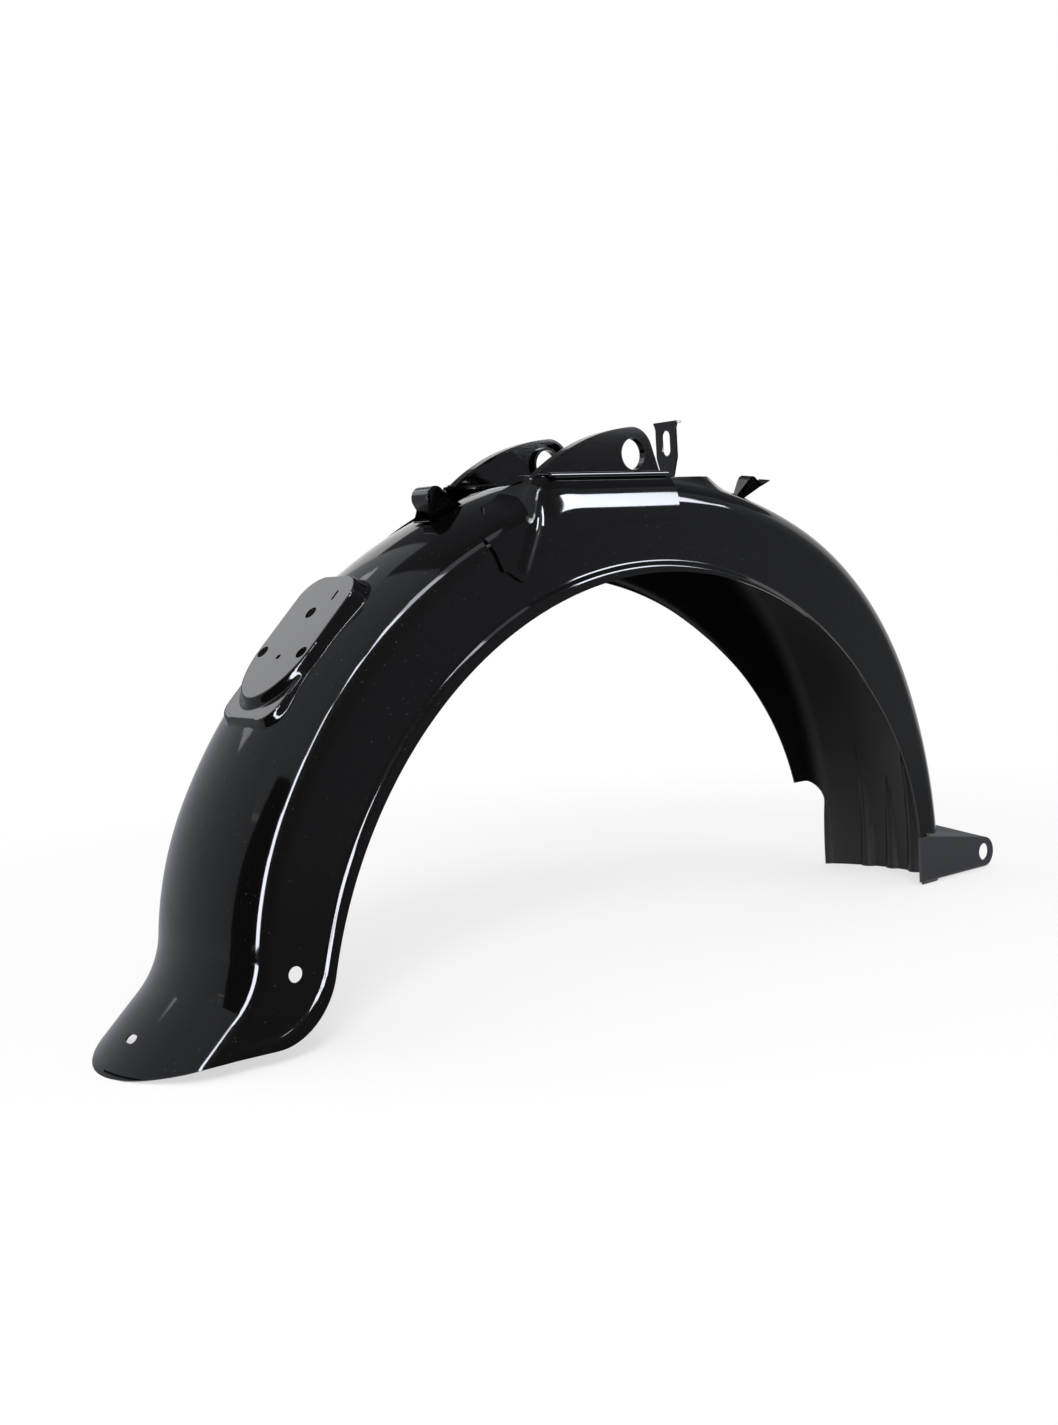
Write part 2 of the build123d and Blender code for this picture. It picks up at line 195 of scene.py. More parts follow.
def merged_solid(node: str) -> BMesh:
    """Copy a node's mesh and join its loose triangles into flat faces.

    Args:
        node: Name of the node.

    Returns:
        The copy, in metres.
    """
    solid = bmesh.new()
    solid.from_mesh(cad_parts[node].data)
    bmesh.ops.remove_doubles(solid, verts=solid.verts[:], dist=MERGE_MM * MM)
    bmesh.ops.dissolve_limit(solid, angle_limit=radians(FLAT_ANGLE), verts=solid.verts[:], edges=solid.edges[:])
    return solid


class Coat(Enum):
    """Which side of the sheet a coat of paint is on."""

    OUTSIDE = 0
    INSIDE = 1


class Side(Enum):
    """Which side of the fender a bracket is on, by the sign of Y."""

    RIGHT = -1
    LEFT = 1


@dataclass(frozen=True)
class BlackPaint:
    """Stoved black enamel on steel: a deep gloss film with a faint orange peel and a few dust specks."""

    name: str
    colour: str
    dust_colour: str = "#8c8a86"
    roughness: float = 0.05
    roughness_spread: float = 0.03
    ior: float = 1.5
    gloss: float = 0.5
    peel_size_mm: float = 3.0
    peel_depth_mm: float = 0.004
    wave_size_mm: float = 45.0
    wave_depth_mm: float = 0.05
    # Real dust is finer than this: the specks are drawn as coarse as they need to show
    speck_size_mm: float = 5.0
    speck_share: float = 0.06
    speck_core: float = 0.6
    speck_strength: float = 0.5

    def material(self) -> bpy.types.Material:
        """Build the paint's shader.

        Returns:
            A node material that reads object coordinates.
        """
        paint = bpy.data.materials.new(self.name)
        paint.use_nodes = True
        tree = paint.node_tree
        tree.nodes.clear()
        place = add_node(tree, "ShaderNodeTexCoord").outputs["Object"]
        peel = add_node(tree, "ShaderNodeTexNoise", links={"Vector": place},
                        values={"Scale": 1 / (self.peel_size_mm * MM), "Detail": 1.0})
        wave = add_node(tree, "ShaderNodeTexNoise", links={"Vector": place},
                        values={"Scale": 1 / (self.wave_size_mm * MM), "Detail": 0.0})
        waviness = add_node(tree, "ShaderNodeBump", links={"Height": wave.outputs["Fac"]},
                            values={"Strength": 1.0, "Distance": self.wave_depth_mm * MM})
        skin = add_node(tree, "ShaderNodeBump", values={"Strength": 1.0, "Distance": self.peel_depth_mm * MM},
                        links={"Height": peel.outputs["Fac"], "Normal": waviness.outputs["Normal"]})
        cells = add_node(tree, "ShaderNodeTexVoronoi", links={"Vector": place},
                         values={"Scale": 1 / (self.speck_size_mm * MM)})
        specks = add_node(tree, "ShaderNodeMapRange", settings={"clamp": True},
                          values={"From Min": self.speck_share, "From Max": self.speck_share * self.speck_core,
                                  "To Min": 0.0, "To Max": self.speck_strength},
                          links={"Value": cells.outputs["Distance"]})
        # Sockets 6 and 7 are the two colours of the mix
        colour = add_node(tree, "ShaderNodeMix", settings={"data_type": "RGBA"},
                          values={6: to_linear(self.colour), 7: to_linear(self.dust_colour)},
                          links={0: specks.outputs["Result"]})
        haze = add_node(tree, "ShaderNodeMapRange", links={"Value": wave.outputs["Fac"]},
                        values={"To Min": self.roughness, "To Max": self.roughness + self.roughness_spread})
        shader = add_node(tree, "ShaderNodeBsdfPrincipled",
                          values={"IOR": self.ior, "Specular IOR Level": self.gloss},
                          links={"Base Color": colour.outputs[2], "Roughness": haze.outputs["Result"],
                                 "Normal": skin.outputs["Normal"]})
        add_node(tree, "ShaderNodeOutputMaterial", links={"Surface": shader.outputs["BSDF"]})
        return paint


@dataclass
class FenderBlade:
    """The pressed steel blade, drawn as a section that is spun along the arcs of the crown, in millimetres.

    Angles are degrees forward from straight up.
    """

    # Crown line, from the wheel's centre
    wheel: Vector = field(default_factory=lambda: Vector((18.5, 0.0, -27.4)))
    crown_radius: float = 415.0
    crown_rear: float = -61.5
    crown_front: float = 26.5
    knee_radius: float = 300.0
    knee_turn: float = 40.0
    nose_radius: float = 450.0
    nose_turn: float = 27.0
    tail_radius: float = 260.0
    tail_turn: float = 22.7
    flare_radius: float = 45.0
    flare_turn: float = 42.0
    tail_edge_radius: float = 270.0
    # Section
    sheet: float = 1.2
    wall_half: float = 71.5
    crown_side_radius: float = 140.0
    shoulder_radius: float = 20.0
    # Wheel opening and the lip round it
    rim_radius: float = 330.0
    rim_front: float = 55.0
    rim_front_radius: float = 250.0
    rim_front_turn: float = 45.0
    tail_corner: float = 40.0
    lip_width: float = 12.0
    lip_angle: float = -37.5
    lip_step: float = 3.2
    lip_ramp: float = 4.5
    lip_zone: float = 18.0
    lip_zone_share: float = 0.6
    lip_start: float = -385.0
    lip_fade: float = 45.0
    # Saddle on top
    saddle_drop: float = 10.1
    saddle_rear: float = -19.0
    saddle_front: float = 101.0
    saddle_half: float = 50.0
    saddle_corner: float = 30.0
    saddle_slope: float = 40.0
    saddle_blend: float = 5.0
    # Lamp seat and the ledge at its foot
    seat_angle: float = -44.8
    seat_lift: float = 3.6
    seat_middle: float = 8.0
    seat_half_length: float = 56.0
    seat_half_width: float = 33.0
    seat_corner: float = 20.0
    seat_round: float = 46.0
    seat_run: float = 5.0
    ledge_run: float = 4.0
    ledge_drop: float = 5.5
    ledge_reach: float = 14.0
    ledge_overhang: float = 1.0
    ledge_corner: float = 14.0
    press_reach: float = 40.0
    # Flutes of the nose
    flute_places: tuple[float, ...] = (-27.0, 0.0, 27.0)
    flute_starts: tuple[float, ...] = (0.34, 0.5, 0.34)
    flute_depth: float = 4.6
    flute_half: float = 7.8
    flute_taper: float = 0.6
    # Holes and the chain-side cut-out
    lamp_hole: float = 10.0
    lamp_holes: tuple[Pair, ...] = ((29.7, 0.0), (-6.9, 25.8), (-6.9, -25.8))
    pilot_hole: float = 4.5
    pilot_place: Pair = (-11.2, 0.0)
    seat_slot: Pair = (9.0, 2.5)
    seat_slot_place: Pair = (46.0, -15.0)
    tail_slot: Pair = (12.0, 7.0)
    tail_slot_height: float = 20.0
    side_hole: float = 11.0
    side_hole_setback: float = 45.0
    side_hole_height: float = 56.5
    notch_setback: float = 19.5
    notch_height: float = 86.0
    notch_corner: float = 24.0
    notch_segments: int = 10
    punch_depth: float = 24.0
    hole_segments: int = 40
    slot_segments: int = 32
    # Grid of the sheet
    cell: float = 4.0
    fewest_cells: int = 4
    flare_fineness: float = 4.4
    shoulder_columns: int = 13
    wall_rows: int = 8
    lip_rows: int = 16
    tail_rows: int = 11
    seat_cuts: int = 3
    flute_cuts: int = 1
    search_steps: int = 20
    merge: float = 0.04
    cut_slack: float = 0.004
    smooth_angle: float = 38.0
    mesh: BMesh = field(default_factory=bmesh.new)

    def out(self, angle: float) -> Vector:
        """Return the outward direction at an angle."""
        return Vector((sin(radians(angle)), 0.0, cos(radians(angle))))

    def arcs(self) -> dict[str, tuple[Vector, float, float]]:
        """Work out the crown line's arcs.

        Returns:
            Centre, first angle and last angle of each arc, by name.
        """
        knee_end = self.crown_front + self.knee_turn
        knee = self.wheel + self.out(self.crown_front) * (self.crown_radius - self.knee_radius)
        nose = knee + self.out(knee_end) * (self.knee_radius - self.nose_radius)
        tail = self.wheel + self.out(self.crown_rear) * (self.crown_radius - self.tail_radius)
        tail_end = self.crown_rear - self.tail_turn
        flare = tail + self.out(tail_end) * (self.tail_radius + self.flare_radius)
        return {
            "crown": (self.wheel, self.crown_rear, self.crown_front),
            "knee": (knee, self.crown_front, knee_end),
            "nose": (nose, knee_end, knee_end + self.nose_turn),
            "tail": (tail, self.crown_rear, tail_end),
            "flare": (flare, tail_end, tail_end + self.flare_turn),
        }

    def steps(self, radius: float, turn: float) -> int:
        """Return how many cells of the grid fit along an arc."""
        return max(self.fewest_cells, round(radius * radians(abs(turn)) / self.cell))

    def wall_top(self) -> float:
        """Return the depth below the crown line at which the walls start."""
        inner = self.crown_side_radius - self.shoulder_radius
        return self.crown_side_radius - sqrt(inner**2 - (self.wall_half - self.shoulder_radius) ** 2)

    def tail_edge(self, side: float) -> float:
        """Return the height of the tail's curved lower edge at a distance to the side."""
        return self.tail_edge_radius - sqrt(self.tail_edge_radius**2 - side**2)

    def tail_down(self) -> Vector:
        """Return the direction in which the tail runs straight on below its flare."""
        lean = radians(self.arcs()["flare"][2])
        return Vector((-cos(lean), 0.0, sin(lean)))

    def seat_plane(self) -> tuple[Vector, Vector, Vector]:
        """Find the plane of the lamp seat.

        Returns:
            Its centre, its direction towards the front and its outward direction.
        """
        up = self.out(self.seat_angle)
        centre = self.wheel + up * (self.crown_radius + self.seat_lift)
        return centre, Vector((up.z, 0.0, -up.x)), up

    def spin(self, geometry: list[BMVert | BMEdge], centre: Vector, axis: Vector, turn: float,
             steps: int) -> list[BMVert | BMEdge]:
        """Spin geometry about an axis.

        Args:
            geometry: Vertices and edges to carry along.
            centre: Point on the axis.
            axis: Direction of the axis.
            turn: Angle in degrees.
            steps: Number of cells along the turn.

        Returns:
            The geometry at the end of the turn.
        """
        spun = bmesh.ops.spin(self.mesh, geom=geometry, cent=centre, axis=axis, angle=radians(turn),
                              steps=steps, use_duplicate=False)
        return spun["geom_last"]

    def section(self) -> list[BMVert | BMEdge]:
        """Draw the section at the rear end of the crown's arc.

        Returns:
            The section's vertices and edges, both halves.
        """
        shoulder_place = self.wall_half - self.shoulder_radius
        lean = degrees(asin(shoulder_place / (self.crown_side_radius - self.shoulder_radius)))
        top = Vector((0.0, 0.0, self.crown_radius))
        crown_centre = top - Vector((0.0, 0.0, self.crown_side_radius))
        shoulder_centre = crown_centre + Vector((0.0, -shoulder_place, 0.0))
        shoulder_centre.z += (self.crown_side_radius - self.shoulder_radius) * cos(radians(lean))
        start = bmesh.ops.create_vert(self.mesh, co=top)["vert"]
        end = self.spin(start, crown_centre, ALONG, lean, self.steps(self.crown_side_radius, lean))
        end = self.spin(end, shoulder_centre, ALONG, 90 - lean, self.shoulder_columns)
        wall = self.crown_radius - self.rim_radius
        count = self.wall_rows + self.lip_rows
        for _ in range(count):
            verts = [part for part in end if isinstance(part, BMVert)]
            end = bmesh.ops.extrude_vert_indiv(self.mesh, verts=verts)["verts"]
            bmesh.ops.translate(self.mesh, verts=end, vec=(0.0, 0.0, -wall / count))
        half = [*self.mesh.verts, *self.mesh.edges]
        bmesh.ops.mirror(self.mesh, geom=half, axis="Y", merge_dist=self.merge)
        turn = Matrix.Rotation(radians(self.crown_rear), 3, "Y")
        bmesh.ops.transform(self.mesh, verts=self.mesh.verts[:], matrix=turn.to_4x4())
        bmesh.ops.translate(self.mesh, verts=self.mesh.verts[:], vec=self.wheel)
        return [*self.mesh.verts, *self.mesh.edges]

    def record_stations(self, stations: dict[BMVert, Station], centre: Vector, radius: float,
                        hollow: bool = False) -> None:
        """Note the crown point, angle and depth of each vertex that has none yet.

        Args:
            stations: Notes so far, by vertex.
            centre: Centre of the arc that the new vertices follow.
            radius: Radius of the crown line on that arc.
            hollow: Whether the arc's centre is outside the blade.
        """
        for vert in self.mesh.verts:
            if vert in stations:
                continue
            arm = Vector((vert.co.x - centre.x, 0.0, vert.co.z - centre.z))
            if hollow:
                arm.negate()
            angle = degrees(atan2(arm.x, arm.z))
            depth = arm.length - radius if hollow else radius - arm.length
            crown = Vector((vert.co.x, 0.0, vert.co.z)) + self.out(angle) * depth
            stations[vert] = (crown, angle, depth)

    def sweep(self) -> dict[BMVert, Station]:
        """Carry the section along the crown's arcs and down the flared tail.

        Returns:
            Crown point, angle and depth of each vertex.
        """
        arcs = self.arcs()
        stations: dict[BMVert, Station] = {}
        front = rear = self.section()
        self.record_stations(stations, self.wheel, self.crown_radius)
        for name, radius in (("crown", self.crown_radius), ("knee", self.knee_radius), ("nose", self.nose_radius)):
            centre, begin, last = arcs[name]
            front = self.spin(front, centre, ACROSS, last - begin, self.steps(radius, last - begin))
            self.record_stations(stations, centre, radius)
        for name, radius, fineness in (("tail", self.tail_radius, 1.0),
                                       ("flare", self.flare_radius, self.flare_fineness)):
            centre, begin, last = arcs[name]
            rear = self.spin(rear, centre, ACROSS, last - begin, self.steps(fineness * radius, last - begin))
            self.record_stations(stations, centre, radius, hollow=name == "flare")
        self.run_out_tail(stations, [part for part in rear if isinstance(part, BMVert)])
        return stations

    def run_out_tail(self, stations: dict[BMVert, Station], row: list[BMVert]) -> None:
        """Carry the end of the flare straight on, down to the tail's curved lower edge.

        Args:
            stations: Notes on each vertex, which get the new ones.
            row: Vertices at the end of the flare.
        """
        down = self.tail_down()
        columns = {vert: stations[vert] for vert in row}
        for rows_left in range(self.tail_rows, 0, -1):
            edges = dict.fromkeys(edge for vert in columns for edge in vert.link_edges
                                  if all(end in columns for end in edge.verts))
            grown = bmesh.ops.extrude_edge_only(self.mesh, edges=list(edges))["geom"]
            fresh: dict[BMVert, Station] = {}
            for vert in (part for part in grown if isinstance(part, BMVert)):
                above = min(columns, key=lambda other: (other.co - vert.co).length_squared)
                crown, lean, depth = columns[above]
                foot = crown - self.out(lean) * min(depth, self.wall_top())
                fall = foot.z - self.tail_edge(vert.co.y)
                moved = down * (max(fall, 0.0) / -down.z / rows_left)
                fresh[vert] = (crown + moved, lean, depth)
                vert.co += moved
            stations.update(fresh)
            columns = fresh

    def inside_opening(self, place: Vector, shift: float = 0.0) -> float:
        """Measure how far a point of the wall is inside the wheel opening.

        Args:
            place: Point to measure, seen from the side.
            shift: How far the opening is moved along the lip's direction.

        Returns:
            Millimetres inside the opening, or a negative figure on the sheet.
        """
        centre = self.wheel + self.out(self.lip_angle) * shift
        arm = Vector((place.x - centre.x, 0.0, place.z - centre.z))
        angle = degrees(atan2(arm.x, arm.z))
        inside = self.rim_radius - arm.length
        if angle > self.rim_front:
            front = centre + self.out(self.rim_front) * (self.rim_radius - self.rim_front_radius)
            arm = Vector((place.x - front.x, 0.0, place.z - front.z))
            last = self.rim_front + self.rim_front_turn
            turned = degrees(atan2(arm.x, arm.z))
            if turned > last or turned < 0:
                return (front + self.out(last) * self.rim_front_radius).x - place.x
            return self.rim_front_radius - arm.length
        if arm.x < 0:
            below = self.tail_edge(self.wall_half) + centre.z - self.wheel.z - place.z
            gap = self.tail_corner + inside
            drop = self.tail_corner + below
            if gap > 0 and drop > 0:
                return hypot(gap, drop) - self.tail_corner
            return max(inside, below)
        return inside

    def wall_end(self, crown: Vector, inward: Vector) -> float:
        """Find the depth at which a line down the wall meets the wheel opening.

        Args:
            crown: Crown point that the line starts from.
            inward: Direction of the line.

        Returns:
            Depth of the wall's end.
        """
        reach = 2 * (self.crown_radius - self.rim_radius)
        low = high = self.wall_top()
        while high < reach and self.inside_opening(crown + inward * high) < 0:
            low = high
            high += self.cell / 2
        for _ in range(self.search_steps):
            middle = (low + high) / 2
            if self.inside_opening(crown + inward * middle) < 0:
                low = middle
            else:
                high = middle
        return low

    def trim_walls(self, stations: dict[BMVert, Station]) -> None:
        """Slide the walls' vertices so that each wall ends on the wheel opening, and press its lip outwards.

        Args:
            stations: Crown point, angle and depth of each vertex.
        """
        wall_top = self.wall_top()
        wall = self.crown_radius - self.rim_radius
        ends: dict[tuple[int, int], float] = {}
        for vert, (crown, angle, depth) in stations.items():
            if depth < wall_top - SLACK_MM:
                continue
            inward = -self.out(angle)
            # Vertices whose crown points agree to a tenth of a millimetre are in one column
            column = (round(crown.x * 10), round(crown.z * 10))
            if column not in ends:
                ends[column] = self.wall_end(crown, inward)
            row = (depth - wall_top) / wall * (self.wall_rows + self.lip_rows)
            length = ends[column] - wall_top
            zone = min(self.lip_zone, self.lip_zone_share * length)
            if row <= self.wall_rows:
                down = row / self.wall_rows * (length - zone)
            else:
                down = length - zone + (row - self.wall_rows) / self.lip_rows * zone
            place = crown + inward * (wall_top + down)
            lip = self.lip_step * smooth_step(self.inside_opening(place, self.lip_width) / self.lip_ramp)
            lip *= smooth_step((place.x - self.lip_start) / self.lip_fade)
            side = 1.0 if vert.co.y > 0 else -1.0
            vert.co = Vector((place.x, side * (self.wall_half + lip), place.z))

    def divide(self, near: set[BMVert], cuts: int) -> None:
        """Divide the cells between some of the vertices."""
        edges = [edge for edge in self.mesh.edges if all(vert in near for vert in edge.verts)]
        bmesh.ops.subdivide_edges(self.mesh, edges=edges, cuts=cuts, use_grid_fill=True)

    def press_saddle(self, vert: BMVert) -> None:
        """Press the flat saddle and its sloping sides into the crown.

        Args:
            vert: Vertex to move.
        """
        x = vert.co.x - self.wheel.x
        height = self.wheel.z + self.crown_radius - self.saddle_drop
        reach = self.saddle_front + 2 * self.saddle_half
        if abs(x) > reach or vert.co.z < height - self.press_reach:
            return
        flat = soft_min(vert.co.z, height, self.saddle_blend) if x < self.saddle_front else vert.co.z
        middle = (self.saddle_front + self.saddle_rear) / 2
        half = (self.saddle_front - self.saddle_rear) / 2
        across = max(abs(vert.co.y) - self.saddle_half + self.saddle_corner, 0.0)
        along = max(abs(x - middle) - half + self.saddle_corner, 0.0)
        outside = hypot(across, along) - self.saddle_corner
        pad = height - max(outside, 0.0) / tan(radians(self.saddle_slope))
        vert.co.z = min(soft_max(flat, pad, self.saddle_blend), height)

    def outside_pad(self, u: float, v: float) -> float:
        """Measure how far a point of the seat's plane is outside the pad's outline.

        Args:
            u: Place along the seat, towards the front.
            v: Place across the seat.

        Returns:
            Millimetres outside the pad, or a negative figure on it.
        """
        lower = self.seat_middle - self.seat_half_length + self.seat_round - u
        if lower > 0:
            return (hypot(lower / self.seat_round, v / self.seat_half_width) - 1) * self.seat_half_width
        beyond_u = max(abs(u - self.seat_middle) - self.seat_half_length + self.seat_corner, 0.0)
        beyond_v = max(abs(v) - self.seat_half_width + self.seat_corner, 0.0)
        return hypot(beyond_u, beyond_v) - self.seat_corner

    def refine_seat(self) -> None:
        """Divide the cells round the lamp seat, whose sides are steep."""
        centre, along, _ = self.seat_plane()
        reach = self.seat_half_length + 2 * self.ledge_reach
        margin = 2 * self.cell
        near: set[BMVert] = set()
        for vert in self.mesh.verts:
            u = (vert.co - centre).dot(along)
            past = self.outside_pad(u, vert.co.y)
            on_crown = abs(u) < reach and vert.co.z > centre.z - reach
            if on_crown and -margin < past < self.ledge_reach + margin:
                near.add(vert)
        self.divide(near, self.seat_cuts)

    def press_seat(self, vert: BMVert) -> None:
        """Press the lamp seat and the ledge at its foot into the crown.

        Args:
            vert: Vertex to move.
        """
        centre, along, up = self.seat_plane()
        offset = vert.co - centre
        u, w = offset.dot(along), offset.dot(up)
        if abs(u) > 2 * self.seat_half_length or w < -self.press_reach:
            return
        outside = self.outside_pad(u, vert.co.y)
        ledge_end = self.seat_middle - self.seat_half_length - self.ledge_reach
        ledge_half = self.seat_half_width + self.ledge_overhang - self.ledge_corner
        past_end = max(ledge_end + self.ledge_corner - u, 0.0)
        past_side = max(abs(vert.co.y) - ledge_half, 0.0)
        ledge_out = max(hypot(past_end, past_side) - self.ledge_corner, u)
        ledge = max(-self.ledge_drop - w, 0.0) * (1 - smooth_step(ledge_out / self.ledge_run))
        pad = max(-w - ledge, 0.0) * (1 - smooth_step(outside / self.seat_run))
        vert.co += up * (ledge + pad)

    def nose_share(self, place: Vector) -> float:
        """Return how far along the nose a point is: 0 at its start and 1 at its end."""
        centre, begin, last = self.arcs()["nose"]
        return (degrees(atan2(place.x - centre.x, place.z - centre.z)) - begin) / (last - begin)

    def refine_flutes(self) -> None:
        """Divide the cells of the nose, whose flutes are narrow."""
        width = max(self.flute_places) + 2 * self.flute_half
        first = min(self.flute_starts)
        near = {vert for vert in self.mesh.verts if abs(vert.co.y) < width and self.nose_share(vert.co) > first}
        self.divide(near, self.flute_cuts)

    def press_flutes(self, vert: BMVert) -> None:
        """Press the tapered flutes into the nose.

        Args:
            vert: Vertex to move.
        """
        share = self.nose_share(vert.co)
        if share <= min(self.flute_starts):
            return
        _, begin, last = self.arcs()["nose"]
        outward = self.out(mix(begin, last, share))
        for place, start in zip(self.flute_places, self.flute_starts):
            taper = max((share - start) / (1 - start), 0.0) ** self.flute_taper
            off = abs(vert.co.y - place) / (self.flute_half * taper) if taper > 0 else 1.0
            if off < 1:
                vert.co -= outward * self.flute_depth * taper * (1 - off * off)

    def middle_of(self, part: BMVert | BMEdge | BMFace) -> Vector:
        """Find the middle of a part of the mesh.

        Args:
            part: Vertex, edge or face.

        Returns:
            Its middle.
        """
        if isinstance(part, BMVert):
            return part.co
        return sum((vert.co for vert in part.verts), Vector()) / len(part.verts)

    def shell(self) -> bpy.types.Object:
        """Build the pressed sheet before its holes are punched.

        Returns:
            An object whose mesh is the outside face, in metres.
        """
        mesh = self.mesh
        self.trim_walls(self.sweep())
        self.refine_flutes()
        self.refine_seat()
        for vert in mesh.verts:
            if abs(vert.co.y) < self.wall_half - SLACK_MM:
                self.press_flutes(vert)
                self.press_saddle(vert)
                self.press_seat(vert)
        front = [part for part in (*mesh.verts, *mesh.edges, *mesh.faces) if self.middle_of(part).x > 0]
        bmesh.ops.bisect_plane(mesh, geom=front, dist=self.cut_slack, plane_co=(0, 0, 0), plane_no=DOWN,
                               clear_outer=True)
        bmesh.ops.remove_doubles(mesh, verts=mesh.verts[:], dist=self.merge)
        bmesh.ops.dissolve_degenerate(mesh, dist=self.merge, edges=mesh.edges[:])
        bmesh.ops.recalc_face_normals(mesh, faces=mesh.faces[:])
        bmesh.ops.scale(mesh, verts=mesh.verts[:], vec=(MM, MM, MM))
        return mesh_object("fender_blade_skin", mesh)

    def slot_punch(self, tool: BMesh, size: Pair, place: Matrix) -> None:
        """Add the punch of a slot with round ends.

        Args:
            tool: Mesh that holds the punches.
            size: Length and width of the slot.
            place: Turn and place of its middle.
        """
        length, width = size
        bar = add_rod(tool, width, self.punch_depth, Matrix.Identity(4), self.slot_segments)
        for vert in bar:
            vert.co.y += (length - width) / 2 if vert.co.y > 0 else (width - length) / 2
        bmesh.ops.transform(tool, verts=bar, matrix=place)

    def seat_punches(self, tool: BMesh) -> None:
        """Add the punches of the lamp seat's holes and slot.

        Args:
            tool: Mesh that holds the punches.
        """
        centre, along, up = self.seat_plane()
        turn = up.to_track_quat("Z", "Y").to_matrix().to_4x4()
        holes = [(self.lamp_hole, place) for place in self.lamp_holes]
        for diameter, (u, v) in (*holes, (self.pilot_hole, self.pilot_place)):
            place = Matrix.Translation(centre + along * u + ACROSS * v) @ turn
            add_rod(tool, diameter, self.punch_depth, place, self.hole_segments)
        u, v = self.seat_slot_place
        self.slot_punch(tool, self.seat_slot, Matrix.Translation(centre + along * u + ACROSS * v) @ turn)

    def tail_punches(self, tool: BMesh) -> None:
        """Add the punches of the tail's slot and of the hole through both walls.

        Args:
            tool: Mesh that holds the punches.
        """
        quarter = radians(90)
        flare, _, lean = self.arcs()["flare"]
        end = flare - self.out(lean) * self.flare_radius
        down = self.tail_down()
        place = end + down * ((self.tail_slot_height - end.z) / down.z)
        turn = self.out(lean).to_track_quat("Z", "Y").to_matrix().to_4x4() @ Matrix.Rotation(quarter, 4, "Z")
        self.slot_punch(tool, self.tail_slot, Matrix.Translation(place) @ turn)
        tail, _, tail_end = self.arcs()["tail"]
        side_x = (tail + self.out(tail_end) * self.tail_radius).x + self.side_hole_setback
        side = Matrix.Translation((side_x, 0.0, self.side_hole_height)) @ Matrix.Rotation(quarter, 4, "X")
        add_rod(tool, self.side_hole, 4 * self.wall_half, side, self.hole_segments)

    def notch_punch(self, tool: BMesh) -> None:
        """Add the block that cuts the chain-side cut-out, with a round upper corner.

        Args:
            tool: Mesh that holds the punches.
        """
        nose, _, last = self.arcs()["nose"]
        front = (nose + self.out(last) * self.nose_radius).x - self.notch_setback
        size = Vector((2 * self.wall_half, self.wall_half, 2 * self.notch_height))
        block = bmesh.ops.create_cube(tool, size=1.0)["verts"]
        bmesh.ops.scale(tool, verts=block, vec=size)
        bmesh.ops.translate(tool, verts=block, vec=(front - size.x / 2, self.wall_half, 0.0))
        top = {vert for vert in block if vert.co.x > front - SLACK_MM and vert.co.z > 0}
        corner = [edge for edge in tool.edges if all(vert in top for vert in edge.verts)]
        bmesh.ops.bevel(tool, geom=corner, offset=self.notch_corner, affect="EDGES",
                        segments=self.notch_segments, profile=0.5, material=-1)

    def punch(self) -> bpy.types.Object:
        """Build the punches for the holes and the chain-side cut-out.

        Returns:
            An object that holds every punch, in metres.
        """
        tool = bmesh.new()
        self.seat_punches(tool)
        self.tail_punches(tool)
        self.notch_punch(tool)
        bmesh.ops.scale(tool, verts=tool.verts[:], vec=(MM, MM, MM))
        bmesh.ops.recalc_face_normals(tool, faces=tool.faces[:])
        return mesh_object("blade_punches", tool)

    def build(self, paints: dict[Coat, bpy.types.Material]) -> bpy.types.Object:
        """Build the blade, give it its sheet thickness and punch its holes.

        Args:
            paints: Paint of the outside and of the inside.

        Returns:
            The finished blade, riding on the root body.
        """
        skin = self.shell()
        skin.data.materials.append(paints[Coat.OUTSIDE])
        skin.data.materials.append(paints[Coat.INSIDE])
        wall = skin.modifiers.new("sheet", "SOLIDIFY")
        wall.thickness = self.sheet * MM
        wall.offset = -1.0
        wall.material_offset = Coat.INSIDE.value
        punches = self.punch()
        cut = skin.modifiers.new("holes", "BOOLEAN")
        cut.operation = "DIFFERENCE"
        cut.object = punches
        cut.solver = "EXACT"
        blade = baked(skin, "painted_blade")
        # The sheet's thickness leans below the floor at the tail
        for vert in blade.data.vertices:
            vert.co.z = max(vert.co.z, 0.0)
        bpy.data.objects.remove(skin)
        bpy.data.objects.remove(punches)
        smooth_by_angle(blade, self.smooth_angle)
        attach(blade, ROOT)
        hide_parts("fender_blade")
        return blade


def dress(piece: bpy.types.Object, node: str, paint: bpy.types.Material, edge_round_mm: float) -> None:
    """Paint a bracket, round its edges and put it in place of its solid.

    Args:
        piece: Bracket to dress.
        node: Node that it replaces.
        paint: Paint of the bracket.
        edge_round_mm: Width of the rounded edges.
    """
    piece.data.materials.clear()
    piece.data.materials.append(paint)
    smooth_by_angle(piece, EDGE_ANGLE)
    bevel = piece.modifiers.new("edge", "BEVEL")
    bevel.width = edge_round_mm * MM
    bevel.segments = EDGE_SEGMENTS
    bevel.limit_method = "ANGLE"
    bevel.angle_limit = radians(EDGE_ANGLE)
    bevel.harden_normals = True
    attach(piece, ROOT)
    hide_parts(node)


